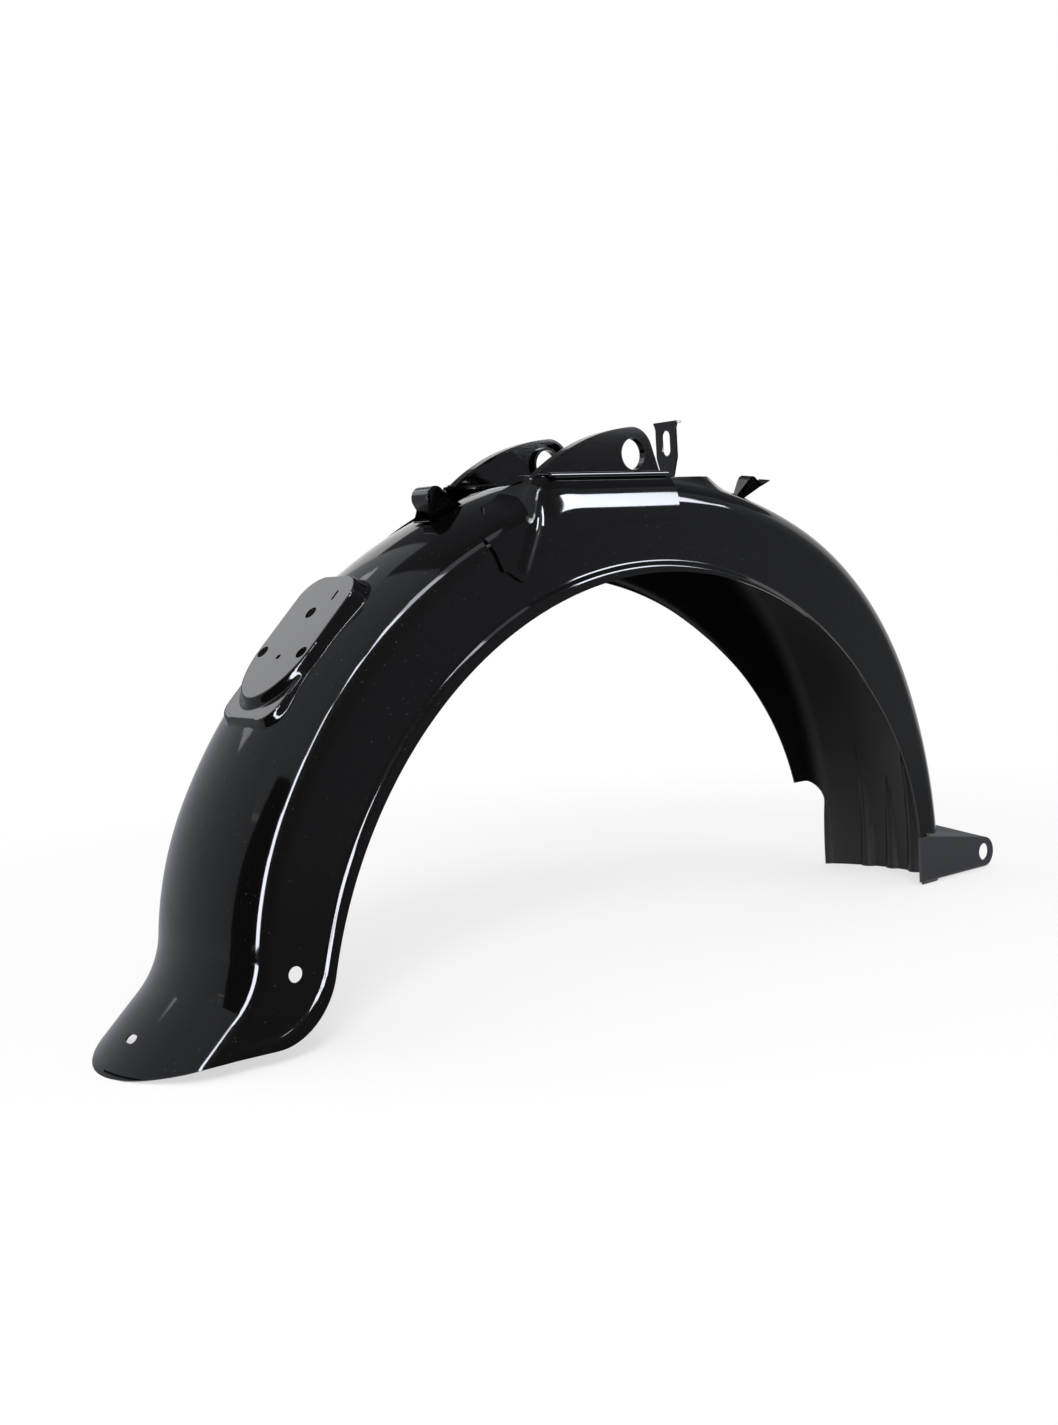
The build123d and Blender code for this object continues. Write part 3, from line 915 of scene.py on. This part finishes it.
@dataclass
class StayBracket:
    """A pressed stay bracket that wraps the shoulder, with an upright ear, in millimetres.

    Its sheet is worked out for the right-hand side. Heights are over the crown line.
    """

    node: str
    side: Side
    blade: FenderBlade
    sheet: float = 2.2
    weld_gap: float = 0.3
    # Box in front, with the shelf that the ear stands on
    shelf_height: float = 379.7
    shelf_width: float = 2.5
    shoulder_height: float = 30.0
    front_x: float = 24.5
    ear_inner: float = 52.5
    ear_rear: float = -107.5
    ear_weld: float = 2.0
    weld_segments: int = 24
    # Flange and leg behind, which lie on the blade
    flange_inner: float = 36.0
    tail_slope: float = 0.42
    hem_depth: float = 43.0
    leg_depth: float = 59.0
    leg_tip: float = -22.3
    leg_front: float = -18.8
    rear_angle: float = -24.7
    rear_top_angle: float = -20.4
    rear_bend: float = 2.2
    # Angles at the upper edge and at the hem between which the box runs into the flange
    blend_start: Pair = (-15.5, -8.0)
    blend_end: Pair = (-19.6, -19.0)
    # Rib: angle and depth of its ends
    rib_top: Pair = (-15.6, 2.0)
    rib_foot: Pair = (-21.9, 48.0)
    rib_half: float = 6.0
    rib_proud: float = 2.2
    # Grid: shares of its height at which the bend starts and ends
    top_share: float = 0.3
    bend_share: float = 0.7
    cells: tuple[int, int] = (80, 56)
    edge_round: float = 1.05

    def lifted(self, angle: float, side: float, lift: float) -> Vector:
        """Return the point at an angle, a distance to the right and a height over the crown line."""
        place = self.blade.wheel + self.blade.out(angle) * (self.blade.crown_radius + lift)
        return Vector((place.x, -side, place.z))

    def hem(self, angle: float) -> float:
        """Find the depth of the lower edge, which dips to the tip of the leg.

        Args:
            angle: Angle of the section.

        Returns:
            Depth below the crown line.
        """
        span = self.leg_front - self.leg_tip if angle > self.leg_tip else self.leg_tip - self.rear_angle
        near = 1 - abs(angle - self.leg_tip) / span
        return mix(self.hem_depth, self.leg_depth, smooth_step(near))

    def inner_edge(self, angle: float) -> float:
        """Find how far from the centre line the bracket's upper edge runs.

        Args:
            angle: Angle of the section.

        Returns:
            Distance to the side.
        """
        x = self.blade.crown_radius * sin(radians(angle))
        behind = smooth_step((self.ear_rear - x) / (self.ear_inner - self.flange_inner))
        return mix(self.ear_inner, self.flange_inner, behind)

    def skin_point(self, angle: float, share: float) -> Pair:
        """Find a point of the sheet where it lies on the blade.

        Args:
            angle: Angle of the section.
            share: Way from the upper edge to the hem, from 0 to 1.

        Returns:
            Distance to the side and height over the crown line.
        """
        blade = self.blade
        lift = self.sheet + self.weld_gap
        reach = blade.crown_side_radius + lift
        place = blade.wall_half - blade.shoulder_radius
        lean = asin(place / (blade.crown_side_radius - blade.shoulder_radius))
        if share < self.top_share:
            start = asin(self.inner_edge(angle) / reach)
            turn = mix(start, lean, share / self.top_share)
            return reach * sin(turn), reach * cos(turn) - blade.crown_side_radius
        bend = blade.shoulder_radius + lift
        if share < self.bend_share:
            turn = mix(lean, radians(90), (share - self.top_share) / (self.bend_share - self.top_share))
            return place + bend * sin(turn), bend * cos(turn) - blade.wall_top()
        down = (share - self.bend_share) / (1 - self.bend_share)
        return place + bend, -mix(blade.wall_top(), self.hem(angle), down)

    def box_point(self, angle: float, share: float) -> Pair:
        """Find a point of the sheet where it stands off the blade as a box.

        Args:
            angle: Angle of the section.
            share: Way from the upper edge to the hem, from 0 to 1.

        Returns:
            Distance to the side and height over the crown line.
        """
        blade = self.blade
        x = blade.crown_radius * sin(radians(angle))
        shelf = self.shelf_height - max(self.ear_rear - x, 0.0) * self.tail_slope
        top = (shelf - blade.wheel.z) / cos(radians(angle)) - blade.crown_radius
        face = blade.wall_half + self.sheet + self.weld_gap
        inner = self.inner_edge(angle)
        corner = inner + self.shelf_width
        if share < self.top_share:
            return mix(inner, corner, share / self.top_share), top
        if share < self.bend_share:
            turn = radians(90) * (share - self.top_share) / (self.bend_share - self.top_share)
            return mix(corner, face, sin(turn)), top - self.shoulder_height * (1 - cos(turn))
        down = (share - self.bend_share) / (1 - self.bend_share)
        return face, mix(top - self.shoulder_height, -self.hem(angle), down)

    def rib(self, place: Vector) -> float:
        """Find how far the rib stands out of the sheet.

        Args:
            place: Point of the sheet, seen from the side.

        Returns:
            Height of the rib there, or 0 beside it.
        """
        top, foot = (self.lifted(angle, 0.0, -depth) for angle, depth in (self.rib_top, self.rib_foot))
        seen = Vector((place.x, 0.0, place.z)) - top
        line = foot - top
        along = min(max(seen.dot(line) / line.length_squared, 0.0), 1.0)
        off = (seen - line * along).length / self.rib_half
        return self.rib_proud * max(1 - off * off, 0.0) ** 2

    def skirt(self) -> BMesh:
        """Press the skirt: a grid that follows the box in front and the blade behind, with a rib between them.

        Returns:
            The skirt as a closed sheet, in millimetres, for the right-hand side.
        """
        mesh = bmesh.new()
        bmesh.ops.create_grid(mesh, x_segments=self.cells[0], y_segments=self.cells[1], size=0.5)
        for vert in mesh.verts:
            along, share = vert.co.x + 0.5, vert.co.y + 0.5
            front = degrees(asin(self.front_x / (self.blade.crown_radius - self.hem_depth * share)))
            rear = mix(self.rear_top_angle, self.rear_angle, smooth_step(self.rear_bend * share))
            angle = mix(front, rear, along)
            start, end = mix(*self.blend_start, share), mix(*self.blend_end, share)
            blend = smooth_step((start - angle) / (start - end))
            box, skin = self.box_point(angle, share), self.skin_point(angle, share)
            lift = mix(box[1], skin[1], blend)
            if share < self.top_share:
                lift = max(lift, skin[1])
            vert.co = self.lifted(angle, mix(box[0], skin[0], blend), lift)
        mesh.normal_update()
        outward = max(mesh.faces, key=lambda face: -face.calc_center_median().y)
        if outward.normal.y > 0:
            bmesh.ops.reverse_faces(mesh, faces=mesh.faces[:])
            mesh.normal_update()
        for vert in mesh.verts:
            vert.co += vert.normal * self.rib(vert.co)
        bmesh.ops.solidify(mesh, geom=mesh.faces[:], thickness=self.sheet)
        return mesh

    def ear(self, mesh: BMesh) -> None:
        """Add the ear with its flange and collar from the solid, cut off at the shelf, and a weld bead at its foot.

        Args:
            mesh: Mesh of the bracket, in metres.
        """
        shelf = self.shelf_height * MM
        solid = merged_solid(self.node)
        parts = [*solid.verts, *solid.edges, *solid.faces]
        cut = bmesh.ops.bisect_plane(solid, geom=parts, dist=CUT_SLACK_M, plane_co=(0, 0, shelf),
                                     plane_no=DOWN, clear_outer=True)["geom_cut"]
        foot = [part.co for part in cut if isinstance(part, BMVert)]
        bmesh.ops.holes_fill(solid, edges=[part for part in cut if isinstance(part, BMEdge)])
        # The bead runs along the outer face of the foot
        face = max(abs(place.y) for place in foot)
        line = [place.x for place in foot if abs(place.y) > face - self.sheet * MM / 4]
        middle = Matrix.Translation(((max(line) + min(line)) / 2, self.side.value * face, shelf))
        add_rod(solid, 2 * self.ear_weld * MM, max(line) - min(line),
                middle @ Matrix.Rotation(radians(90), 4, "Y"), self.weld_segments)
        ear = bpy.data.meshes.new("ear_blank")
        solid.to_mesh(ear)
        solid.free()
        mesh.from_mesh(ear)
        bpy.data.meshes.remove(ear)

    def build(self, paint: bpy.types.Material) -> bpy.types.Object:
        """Build the bracket and round its sheet edges.

        Args:
            paint: Paint of the bracket.

        Returns:
            The finished bracket, riding on the root body.
        """
        mesh = self.skirt()
        bmesh.ops.scale(mesh, verts=mesh.verts[:], vec=(MM, -self.side.value * MM, MM))
        if self.side is Side.LEFT:
            bmesh.ops.reverse_faces(mesh, faces=mesh.faces[:])
        self.ear(mesh)
        bracket = mesh_object("painted_" + self.node, mesh)
        dress(bracket, self.node, paint, self.edge_round)
        return bracket


@dataclass
class PressedBracket:
    """A welded bracket: its solid with merged faces, rounded sheet edges and paint."""

    node: str
    edge_round_mm: float = 0.7

    def build(self, paint: bpy.types.Material) -> bpy.types.Object:
        """Copy the solid's mesh, join its triangles and round its edges.

        Args:
            paint: Paint of the bracket.

        Returns:
            The finished bracket, riding on the root body.
        """
        bracket = mesh_object("painted_" + self.node, merged_solid(self.node))
        dress(bracket, self.node, paint, self.edge_round_mm)
        return bracket


@dataclass(frozen=True)
class SoftBox:
    """A lamp that faces the fender: its direction, distance and size in metres, and how bright its face is."""

    name: str
    towards: Triple
    distance: float
    size: Pair
    radiance: float

    def hang(self, aim: Triple) -> None:
        """Hang the lamp.

        Args:
            aim: Point that the lamp faces.
        """
        data = bpy.data.lights.new(self.name, "AREA")
        data.shape = "RECTANGLE"
        data.size, data.size_y = self.size
        data.energy = self.radiance * data.size * data.size_y * pi
        lamp = bpy.data.objects.new(self.name, data)
        bpy.context.collection.objects.link(lamp)
        arm = Vector(self.towards).normalized()
        turn = arm.to_track_quat("Z", "Y").to_matrix().to_4x4()
        lamp.matrix_world = Matrix.Translation(Vector(aim) + arm * self.distance) @ turn


@dataclass(frozen=True)
class Card:
    """A card beside the set, seen only in reflections: dark as a flag, or bright as a window, in metres.

    Its glow is given at its rear and at its front end, and turned is in degrees, in its own plane.
    """

    name: str
    place: Triple
    size: Pair
    facing: Triple
    glow: Pair
    turned: float = 0.0

    def cloth(self, colour: str) -> bpy.types.Material:
        """Build the card's glowing cloth.

        Args:
            colour: Colour of the glow.

        Returns:
            A node material.
        """
        cloth = bpy.data.materials.new(self.name + "_cloth")
        cloth.use_nodes = True
        tree = cloth.node_tree
        tree.nodes.clear()
        place = add_node(tree, "ShaderNodeTexCoord").outputs["Object"]
        split = add_node(tree, "ShaderNodeSeparateXYZ", links={0: place})
        half = self.size[0] / 2
        shade = add_node(tree, "ShaderNodeMapRange", links={"Value": split.outputs["X"]},
                         values={"From Min": self.place[0] - half, "From Max": self.place[0] + half,
                                 "To Min": self.glow[0], "To Max": self.glow[1]})
        light = add_node(tree, "ShaderNodeEmission", values={"Color": to_linear(colour)},
                         links={"Strength": shade.outputs["Result"]})
        add_node(tree, "ShaderNodeOutputMaterial", links={"Surface": light.outputs[0]})
        return cloth

    def hang(self, colour: str) -> None:
        """Hang the card as a part of the stage.

        Args:
            colour: Colour of its glow.
        """
        mesh = bmesh.new()
        bmesh.ops.create_grid(mesh, x_segments=1, y_segments=1, size=0.5)
        bmesh.ops.scale(mesh, verts=mesh.verts[:], vec=(*self.size, 1.0))
        turn = Vector(self.facing).to_track_quat("Z", "Y").to_matrix().to_4x4()
        turn = Matrix.Translation(self.place) @ turn @ Matrix.Rotation(radians(self.turned), 4, "Z")
        bmesh.ops.transform(mesh, verts=mesh.verts[:], matrix=turn)
        card = mesh_object(self.name, mesh)
        card.data.materials.append(self.cloth(colour))
        card.visible_camera = False
        card.visible_diffuse = False
        card.visible_shadow = False


@dataclass
class Studio:
    """White floor and background, soft boxes, reflection cards and the camera, in metres."""

    camera_place: Triple = (-0.8688, -0.9886, 0.3184)
    camera_ahead: Triple = (0.62955, 0.77133, -0.09330)
    camera_up: Triple = (0.10602, 0.03368, 0.99379)
    lens_mm: float = 41.1
    sensor_mm: float = 36.0
    floor_radius: float = 6.0
    floor_segments: int = 96
    shadow_radius: float = 0.55
    white_radius: float = 1.1
    floor_colour: str = "#fbfbfb"
    floor_glow: float = 0.62
    soft_light: float = 0.62
    lamp_aim: Triple = (0.0, 0.0, 0.2)
    lamps: tuple[SoftBox, ...] = (
        SoftBox("top_box", (-0.20, -0.53, 0.82), 2.3, (0.6, 0.8), 10.0),
        SoftBox("key_box", (-0.56, -0.60, 0.57), 2.4, (0.6, 0.8), 10.0),
        SoftBox("back_box", (-0.30, 0.72, 0.60), 1.5, (0.80, 0.6), 1.4),
    )
    # Bright cards that the shoulder and the lip mirror to the camera as one long line
    line_rear: float = -92.0
    line_step: float = 7.5
    line_count: int = 9
    line_fade: Pair = (-29.0, 24.0)
    line_tilt: float = 44.0
    line_aim: Triple = (0.0, 0.0, 0.25)
    line_distance: float = 1.5
    line_size: Pair = (0.46, 0.46)
    line_glow: float = 26.0
    card_colour: str = "#eaeef8"
    cards: tuple[Card, ...] = (
        Card("window_card", (0.53, -0.60, 0.66), (0.40, 0.36), FAR, (28.0, 17.0)),
        Card("rib_card", (-0.36, -1.28, 0.74), (0.45, 0.45), (0.18, 0.93, -0.31), (12.0, 12.0)),
        Card("wall_flag", (0.9, -0.75, 0.7), (3.6, 1.5), FAR, (0.05, 0.60)),
        Card("floor_flag", (0.9, -0.45, 0.004), (3.6, 0.76), UP, (0.05, 0.60)),
        Card("arch_floor_flag", (-0.05, 0.05, 0.005), (0.5, 0.24), UP, (0.02, 0.02)),
        Card("left_floor_flag", (-1.504, -0.293, 0.003), (1.9, 1.2), UP, (0.04, 0.04), -17.2),
        Card("back_floor_flag", (-1.9, 0.70, 0.002), (4.2, 1.8), UP, (0.45, 0.55)),
        Card("rear_ceiling_flag", (-2.1, 0.6, 2.6), (3.8, 6.0), DOWN, (0.55, 0.50)),
        Card("front_ceiling_flag", (2.3, 0.6, 2.6), (5.0, 6.0), DOWN, (0.12, 0.16)),
        Card("back_flag", (-2.0, 1.6, 1.25), (4.6, 2.7), NEAR, (0.45, 0.60)),
        Card("rear_flag", (-4.3, 0.3, 1.25), (2.8, 2.7), FRONT, (0.45, 0.45)),
        Card("side_flag", (-2.2, -0.675, 0.9), (2.45, 1.9), FRONT, (0.04, 0.04)),
    )

    def camera(self) -> None:
        """Place the camera at the photograph's viewing angle."""
        data = bpy.data.cameras.new("camera")
        data.lens = self.lens_mm
        data.sensor_width = self.sensor_mm
        camera = bpy.data.objects.new("camera", data)
        bpy.context.collection.objects.link(camera)
        ahead = Vector(self.camera_ahead)
        right = ahead.cross(Vector(self.camera_up)).normalized()
        up = right.cross(ahead).normalized()
        turn = Matrix((right, up, -ahead)).transposed()
        camera.matrix_world = Matrix.Translation(self.camera_place) @ turn.to_4x4()
        bpy.context.scene.camera = camera

    def background_rays(self, tree: bpy.types.NodeTree) -> bpy.types.NodeSocket:
        """Add a mask that is 1 for rays that see the background and 0 for rays that light the fender.

        Args:
            tree: Node tree that gets the mask.

        Returns:
            The mask's output socket.
        """
        rays = add_node(tree, "ShaderNodeLightPath").outputs
        seen = add_node(tree, "ShaderNodeMath", settings={"operation": "MAXIMUM"},
                        links={0: rays["Is Camera Ray"], 1: rays["Is Glossy Ray"]})
        shown = add_node(tree, "ShaderNodeMath", settings={"operation": "MAXIMUM"},
                         links={0: seen.outputs[0], 1: rays["Is Transmission Ray"]})
        return shown.outputs[0]

    def world(self) -> None:
        """Make the world white to the camera and in reflections, and softer as a light."""
        world = bpy.data.worlds.new("studio")
        bpy.context.scene.world = world
        world.use_nodes = True
        tree = world.node_tree
        tree.nodes.clear()
        white = add_node(tree, "ShaderNodeBackground", values={"Color": WHITE, "Strength": 1.0})
        soft = add_node(tree, "ShaderNodeBackground", values={"Color": WHITE, "Strength": self.soft_light})
        both = add_node(tree, "ShaderNodeMixShader",
                        links={0: self.background_rays(tree), 1: soft.outputs[0], 2: white.outputs[0]})
        add_node(tree, "ShaderNodeOutputWorld", links={"Surface": both.outputs[0]})

    def floor(self) -> None:
        """Lay a pale floor under the fender's two ends, which turns pure white further out."""
        mesh = bmesh.new()
        bmesh.ops.create_circle(mesh, cap_ends=True, segments=self.floor_segments, radius=self.floor_radius)
        floor = mesh_object("floor", mesh)
        paper = bpy.data.materials.new("matt_white_paper")
        paper.use_nodes = True
        tree = paper.node_tree
        tree.nodes.clear()
        place = add_node(tree, "ShaderNodeTexCoord").outputs["Object"]
        reach = add_node(tree, "ShaderNodeVectorMath", settings={"operation": "LENGTH"}, links={0: place})
        glow = add_node(tree, "ShaderNodeMapRange", settings={"interpolation_type": "SMOOTHSTEP"},
                        values={"From Min": self.shadow_radius, "From Max": self.white_radius,
                                "To Min": self.floor_glow, "To Max": 1.0},
                        links={"Value": reach.outputs["Value"]})
        share = add_node(tree, "ShaderNodeMath", settings={"operation": "MULTIPLY"},
                         links={0: glow.outputs["Result"], 1: self.background_rays(tree)})
        matt = add_node(tree, "ShaderNodeBsdfDiffuse", values={"Color": to_linear(self.floor_colour)})
        white = add_node(tree, "ShaderNodeEmission", values={"Color": WHITE, "Strength": 1.0})
        both = add_node(tree, "ShaderNodeMixShader",
                        links={0: share.outputs[0], 1: matt.outputs[0], 2: white.outputs[0]})
        add_node(tree, "ShaderNodeOutputMaterial", links={"Surface": both.outputs[0]})
        floor.data.materials.append(paper)

    def line_card(self, angle: float) -> Card:
        """Find the bright card that the shoulder and the lip mirror to the camera.

        Args:
            angle: Angle along the blade at which it is mirrored.

        Returns:
            The card, which fades towards the front.
        """
        turn, tilt = radians(angle), radians(self.line_tilt)
        normal = Vector((sin(turn) * sin(tilt), -cos(tilt), cos(turn) * sin(tilt)))
        ahead = Vector(self.camera_ahead)
        mirrored = ahead - normal * (2 * ahead.dot(normal))
        place = Vector(self.line_aim) + mirrored * self.line_distance
        glow = self.line_glow * smooth_step((self.line_fade[0] - angle) / self.line_fade[1])
        return Card(f"line_card_{angle:+.0f}", tuple(place), self.line_size, tuple(-mirrored), (glow, glow))

    def build(self) -> None:
        """Set up the whole studio."""
        self.camera()
        self.world()
        self.floor()
        for lamp in self.lamps:
            lamp.hang(self.lamp_aim)
        lines = [self.line_card(self.line_rear + self.line_step * step) for step in range(self.line_count)]
        for card in (*lines, *self.cards):
            card.hang(self.card_colour)


def main() -> None:
    """Build the fender and its studio, and report each piece."""
    logging.basicConfig(level=logging.INFO, format="%(name)s: %(message)s")
    bpy.context.scene.view_settings.view_transform = "Standard"
    # Outside: a thick coat that mirrors the studio; underside: a thin, dull coat; arm: a greyer satin coat, whose
    # grey is a painted sheen standing in for the light its face catches
    outside = BlackPaint("gloss_black_enamel", "#060606").material()
    inside = BlackPaint("satin_black_underside", "#060606", roughness=0.3, roughness_spread=0.1, gloss=0.3,
                        peel_depth_mm=0.01).material()
    # The arm's grey colour is painted sheen: the light that its face catches is painted into the coat
    arm_paint_with_painted_sheen = BlackPaint("satin_black_arm_painted_sheen", "#2d2e33", roughness=0.36, roughness_spread=0.08, gloss=0.5,
                           peel_depth_mm=0.01).material()
    Studio().build()
    log.info("studio ready")
    shape = FenderBlade()
    blade = shape.build({Coat.OUTSIDE: outside, Coat.INSIDE: inside})
    log.info("%s: %d faces", blade.name, len(blade.data.polygons))
    brackets: list[StayBracket | PressedBracket] = [
        StayBracket("stay_bracket_right", Side.RIGHT, shape),
        StayBracket("stay_bracket_left", Side.LEFT, shape),
    ]
    small = ("seat_tab", "harness_clip_rear", "harness_clip_front", "front_arm")
    brackets += [PressedBracket(node) for node in small]
    for bracket in brackets:
        piece = bracket.build(arm_paint_with_painted_sheen if bracket.node == "front_arm" else outside)
        log.info("%s: %d faces", piece.name, len(piece.data.polygons))


if __name__ == "__main__":
    main()
